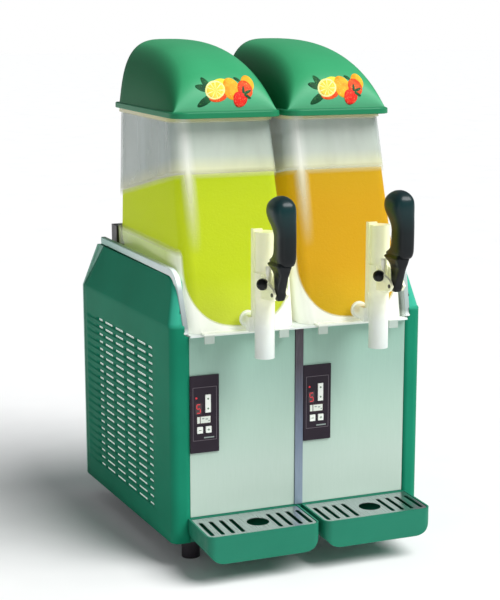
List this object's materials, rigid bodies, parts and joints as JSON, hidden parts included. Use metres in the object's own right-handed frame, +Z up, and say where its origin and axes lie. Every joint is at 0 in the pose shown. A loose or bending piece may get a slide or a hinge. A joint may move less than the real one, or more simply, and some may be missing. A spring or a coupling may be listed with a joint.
{
  "type": "slushie machine",
  "caption": "Twin-bowl frozen drink dispenser with domed lids, pull-handle piston taps, drip trays and a louvred cabinet.",
  "frame": {"origin": "on the ground, at the middle of the overall width and depth", "axes": "+Z up, -Y towards the user at the taps, +X to the user's right"},
  "size_m": [0.497, 0.578, 0.8315],
  "materials": {
    "steel_sheet": "zinc plated sheet steel",
    "rubber": "matt moulded rubber",
    "steel_fastener": "turned stainless steel",
    "body_green": "satin moulded plastic, deep green",
    "panel": "brushed sheet with a green tint",
    "trim": "dark anodised strip",
    "rear_panel": "pale green painted sheet",
    "deck": "pale moulded plastic",
    "compressor": "gloss black enamel",
    "fins": "bright pressed fins",
    "filter": "white nylon mesh in a frame",
    "motor": "grey painted castings",
    "fan": "moulded black plastic",
    "copper": "drawn copper tube, brazed joints",
    "dark_plastic": "dark moulded plastic",
    "evaporator": "polished stainless drum",
    "bezel": "dark aubergine fascia",
    "display": "red display window",
    "auger": "white moulded plastic",
    "bowl": "clear polycarbonate, frosted by cold",
    "slush_lime": "frozen lime slush",
    "slush_orange": "frozen orange slush",
    "lid_green": "gloss moulded plastic, mid green",
    "tap": "milky translucent plastic",
    "spring": "spring wire",
    "piston": "white acetal",
    "handle": "gloss black moulded plastic",
    "grate": "brushed stainless sheet",
    "key": "white keys"
  },
  "bodies": {
    "cabinet": {"chassis": "steel_sheet", "feet": "rubber", "foot_bolts": "steel_fastener", "front_rail": "body_green", "left_side_shell": "body_green", "right_side_shell": "body_green", "left_front_panel": "panel", "right_front_panel": "panel", "centre_trim": "trim", "rear_panel": "rear_panel", "top_deck": "deck", "cabinet_screws": "steel_fastener", "compressor": "compressor", "compressor_grommets": "rubber", "condenser": "fins", "air_filters": "filter", "fan_shroud": "steel_sheet", "fan_motor": "motor", "refrigerant_pipes": "copper", "control_box": "steel_sheet", "motor_housing": "dark_plastic", "gear_motors": "motor", "evaporators": "evaporator", "bowl_gaskets": "rubber", "control_bezels": "bezel", "display_windows": "display", "cable_gland": "dark_plastic"},
    "left_bowl_unit": {"left_bowl": "bowl", "left_slush": "slush_lime", "left_tap_body": "tap", "left_tap_pins": "dark_plastic", "left_tap_spring": "spring"},
    "left_lid_unit": {"left_lid": "lid_green"},
    "left_handle_unit": {"left_handle": "handle"},
    "left_piston_unit": {"left_piston": "piston", "left_piston_seals": "rubber"},
    "left_auger_unit": {"left_auger": "auger", "left_drive_shaft": "steel_fastener"},
    "left_tray_unit": {"left_drip_tray": "body_green"},
    "left_grate_unit": {"left_grate": "grate"},
    "left_rocker_unit": {"left_rocker_key": "key"},
    "left_power_unit": {"left_power_key": "key"},
    "left_mode_unit": {"left_mode_key": "key"},
    "right_bowl_unit": {"right_bowl": "bowl", "right_slush": "slush_orange", "right_tap_body": "tap", "right_tap_pins": "dark_plastic", "right_tap_spring": "spring"},
    "right_lid_unit": {"right_lid": "lid_green"},
    "right_handle_unit": {"right_handle": "handle"},
    "right_piston_unit": {"right_piston": "piston", "right_piston_seals": "rubber"},
    "right_auger_unit": {"right_auger": "auger", "right_drive_shaft": "steel_fastener"},
    "right_tray_unit": {"right_drip_tray": "body_green"},
    "right_grate_unit": {"right_grate": "grate"},
    "right_rocker_unit": {"right_rocker_key": "key"},
    "right_power_unit": {"right_power_key": "key"},
    "right_mode_unit": {"right_mode_key": "key"},
    "fan_unit": {"fan_blade": "fan"}
  },
  "joints": [
    {"name": "left_bowl_slide", "type": "slide", "parent": "cabinet", "child": "left_bowl_unit", "axis": [0, -1, 0], "range_m": [0, 0.3]},
    {"name": "left_lid_lift", "type": "slide", "parent": "left_bowl_unit", "child": "left_lid_unit", "axis": [0, 0, 1], "range_m": [0, 0.14]},
    {"name": "left_handle_tilt", "type": "hinge", "parent": "left_bowl_unit", "child": "left_handle_unit", "pos_m": [-0.092, -0.26, 0.465], "axis": [1, 0, 0], "range_deg": [0, 25], "stiffness_Nm_per_rad": 0.8, "springref_deg": -14.32},
    {"name": "left_piston_lift", "type": "slide", "parent": "left_bowl_unit", "child": "left_piston_unit", "axis": [0, 0, 1], "range_m": [0, 0.0225], "stiffness_N_per_m": 200, "springref_m": -0.01, "deforming": ["left_tap_spring"]},
    {"name": "left_auger_turn", "type": "hinge", "parent": "cabinet", "child": "left_auger_unit", "pos_m": [-0.097, 0.074, 0.48], "axis": [0, 1, 0], "continuous": true},
    {"name": "left_tray_slide", "type": "slide", "parent": "cabinet", "child": "left_tray_unit", "axis": [0, -1, 0], "range_m": [0, 0.12]},
    {"name": "left_grate_lift", "type": "slide", "parent": "left_tray_unit", "child": "left_grate_unit", "axis": [0, 0, 1], "range_m": [0, 0.05]},
    {"name": "left_rocker_tilt", "type": "hinge", "parent": "cabinet", "child": "left_rocker_unit", "pos_m": [-0.1592, -0.125, 0.271], "axis": [1, 0, 0], "range_deg": [-3.5, 3.5], "stiffness_Nm_per_rad": 0.3},
    {"name": "left_power_press", "type": "slide", "parent": "cabinet", "child": "left_power_unit", "axis": [0, 1, 0], "range_m": [0, 0.0012], "stiffness_N_per_m": 800},
    {"name": "left_mode_press", "type": "slide", "parent": "cabinet", "child": "left_mode_unit", "axis": [0, 1, 0], "range_m": [0, 0.0012], "stiffness_N_per_m": 800},
    {"name": "right_bowl_slide", "type": "slide", "parent": "cabinet", "child": "right_bowl_unit", "axis": [0, -1, 0], "range_m": [0, 0.3]},
    {"name": "right_lid_lift", "type": "slide", "parent": "right_bowl_unit", "child": "right_lid_unit", "axis": [0, 0, 1], "range_m": [0, 0.14]},
    {"name": "right_handle_tilt", "type": "hinge", "parent": "right_bowl_unit", "child": "right_handle_unit", "pos_m": [0.102, -0.26, 0.465], "axis": [1, 0, 0], "range_deg": [0, 25], "stiffness_Nm_per_rad": 0.8, "springref_deg": -14.32},
    {"name": "right_piston_lift", "type": "slide", "parent": "right_bowl_unit", "child": "right_piston_unit", "axis": [0, 0, 1], "range_m": [0, 0.0225], "stiffness_N_per_m": 200, "springref_m": -0.01, "deforming": ["right_tap_spring"]},
    {"name": "right_auger_turn", "type": "hinge", "parent": "cabinet", "child": "right_auger_unit", "pos_m": [0.097, 0.074, 0.48], "axis": [0, 1, 0], "continuous": true},
    {"name": "right_tray_slide", "type": "slide", "parent": "cabinet", "child": "right_tray_unit", "axis": [0, -1, 0], "range_m": [0, 0.12]},
    {"name": "right_grate_lift", "type": "slide", "parent": "right_tray_unit", "child": "right_grate_unit", "axis": [0, 0, 1], "range_m": [0, 0.05]},
    {"name": "right_rocker_tilt", "type": "hinge", "parent": "cabinet", "child": "right_rocker_unit", "pos_m": [0.0353, -0.125, 0.271], "axis": [1, 0, 0], "range_deg": [-3.5, 3.5], "stiffness_Nm_per_rad": 0.3},
    {"name": "right_power_press", "type": "slide", "parent": "cabinet", "child": "right_power_unit", "axis": [0, 1, 0], "range_m": [0, 0.0012], "stiffness_N_per_m": 800},
    {"name": "right_mode_press", "type": "slide", "parent": "cabinet", "child": "right_mode_unit", "axis": [0, 1, 0], "range_m": [0, 0.0012], "stiffness_N_per_m": 800},
    {"name": "fan_turn", "type": "hinge", "parent": "cabinet", "child": "fan_unit", "pos_m": [-0.16, 0.079, 0.212], "axis": [1, 0, 0], "continuous": true}
  ],
  "couplings": [
    {"joint": "left_piston_lift", "follows": "left_handle_tilt", "m_per_rad": 0.051},
    {"joint": "right_piston_lift", "follows": "right_handle_tilt", "m_per_rad": 0.051}
  ]
}
